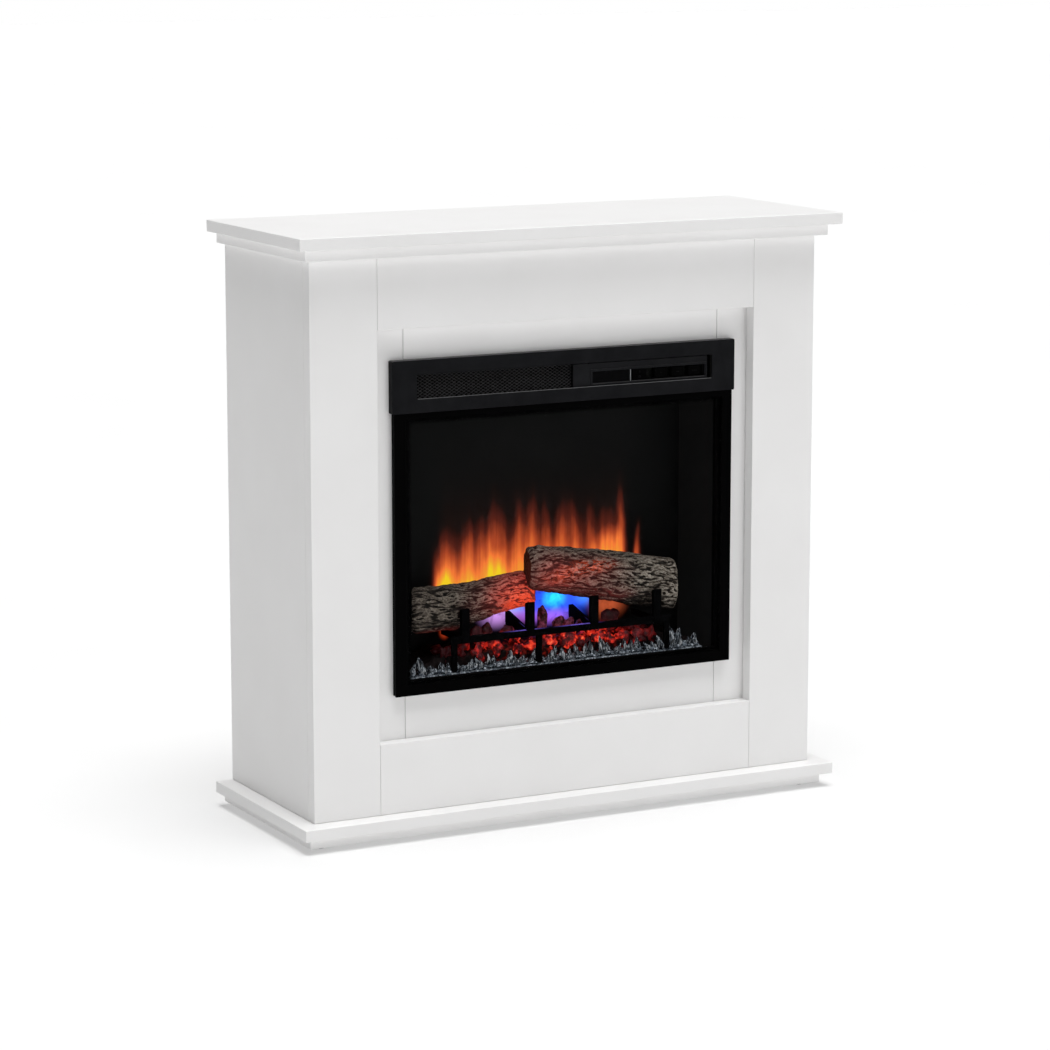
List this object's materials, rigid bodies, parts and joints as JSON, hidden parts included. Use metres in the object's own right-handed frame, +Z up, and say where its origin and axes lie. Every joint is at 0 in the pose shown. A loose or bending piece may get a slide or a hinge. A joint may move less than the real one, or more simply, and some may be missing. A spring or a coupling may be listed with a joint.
{
  "type": "electric fireplace",
  "caption": "White board surround on a stepped base, with a black firebox insert: glass front, log fire effect, slotted header with warm-air grille and keys.",
  "frame": {"origin": "on the floor, under the middle of the bounding box", "axes": "+X to the right of someone facing the front, +Y to the back, +Z up"},
  "size_m": [0.925, 0.3474, 0.9195],
  "materials": {
    "white_board": "satin white foil over fibreboard, edges eased",
    "raw_board": "bare fibreboard, cut edges",
    "header_steel": "satin black powder coat",
    "firebox_steel": "matt black stove paint",
    "heater_mesh": "black expanded mesh",
    "galvanised_steel": "zinc-coated sheet",
    "smoked_glass": "flat toughened glass with a black printed edge",
    "black_plastic": "black moulded plastic, fine spark texture",
    "display_black": "polished black acrylic",
    "flame_screen": "dark diffusing sheet that the flame light falls on",
    "log_bark": "cast resin painted as bark, lit red from below",
    "ember_resin": "translucent moulded embers lit from under",
    "crushed_glass": "clear and grey crushed glass over dark chippings",
    "grate_iron": "rough black paint",
    "circuit_board": "green solder mask",
    "element_metal": "bare fins",
    "white_plastic": "natural nylon"
  },
  "bodies": {
    "fireplace": {"top_shelf": "white_board", "cornice_slab": "white_board", "left_side_panel": "white_board", "right_side_panel": "white_board", "left_pilaster": "white_board", "right_pilaster": "white_board", "upper_fascia": "white_board", "lower_apron": "white_board", "infill_left_stile": "white_board", "infill_right_stile": "white_board", "infill_top_rail": "white_board", "infill_bottom_rail": "white_board", "base_slab": "white_board", "plinth_slab": "white_board", "back_rail_top": "raw_board", "back_rail_bottom": "raw_board", "firebox_shelf": "raw_board", "header_trim": "header_steel", "firebox_base_pan": "firebox_steel", "firebox_left_side": "firebox_steel", "firebox_right_side": "firebox_steel", "firebox_top_panel": "firebox_steel", "heater_deck": "firebox_steel", "glass_frame": "firebox_steel", "heater_grille": "heater_mesh", "firebox_back_panel": "galvanised_steel", "insert_bracket_left": "galvanised_steel", "insert_bracket_right": "galvanised_steel", "wall_bracket_left": "galvanised_steel", "wall_bracket_right": "galvanised_steel", "heater_housing": "galvanised_steel", "flicker_motor": "galvanised_steel", "fan_motor": "galvanised_steel", "thermal_cutout": "galvanised_steel", "front_glass": "smoked_glass", "control_bezel": "black_plastic", "cord_gland": "black_plastic", "glide_front_left": "black_plastic", "glide_front_right": "black_plastic", "glide_back_left": "black_plastic", "glide_back_right": "black_plastic", "display_lens": "display_black", "flame_screen": "flame_screen", "log_left": "log_bark", "log_right": "log_bark", "ember_bed": "ember_resin", "crushed_glass_bed": "crushed_glass", "log_grate": "grate_iron", "control_pcb": "circuit_board", "ember_led_board": "circuit_board", "flame_led_board": "circuit_board", "heating_element": "element_metal", "flicker_bush": "white_plastic", "rotor_bearing": "white_plastic"},
    "flicker_rod_body": {"flicker_rod": "galvanised_steel"},
    "heater_rotor_body": {"heater_rotor": "black_plastic"},
    "power_rocker_body": {"power_rocker": "black_plastic"},
    "button_flame_body": {"button_flame": "black_plastic"},
    "button_heat_body": {"button_heat": "black_plastic"},
    "button_timer_body": {"button_timer": "black_plastic"}
  },
  "joints": [
    {"name": "flicker_rod_spin", "type": "hinge", "parent": "fireplace", "child": "flicker_rod_body", "pos_m": [0, 0.024, 0.262], "axis": [1, 0, 0], "continuous": true},
    {"name": "heater_rotor_spin", "type": "hinge", "parent": "fireplace", "child": "heater_rotor_body", "pos_m": [0, -0.068, 0.674], "axis": [1, 0, 0], "continuous": true},
    {"name": "power_rocker_tilt", "type": "hinge", "parent": "fireplace", "child": "power_rocker_body", "pos_m": [0.131, -0.11495, 0.6805], "axis": [1, 0, 0], "range_deg": [-7, 7]},
    {"name": "button_flame_press", "type": "slide", "parent": "fireplace", "child": "button_flame_body", "axis": [0, 1, 0], "range_m": [0, 0.0012], "stiffness_N_per_m": 300},
    {"name": "button_heat_press", "type": "slide", "parent": "fireplace", "child": "button_heat_body", "axis": [0, 1, 0], "range_m": [0, 0.0012], "stiffness_N_per_m": 300},
    {"name": "button_timer_press", "type": "slide", "parent": "fireplace", "child": "button_timer_body", "axis": [0, 1, 0], "range_m": [0, 0.0012], "stiffness_N_per_m": 300}
  ]
}
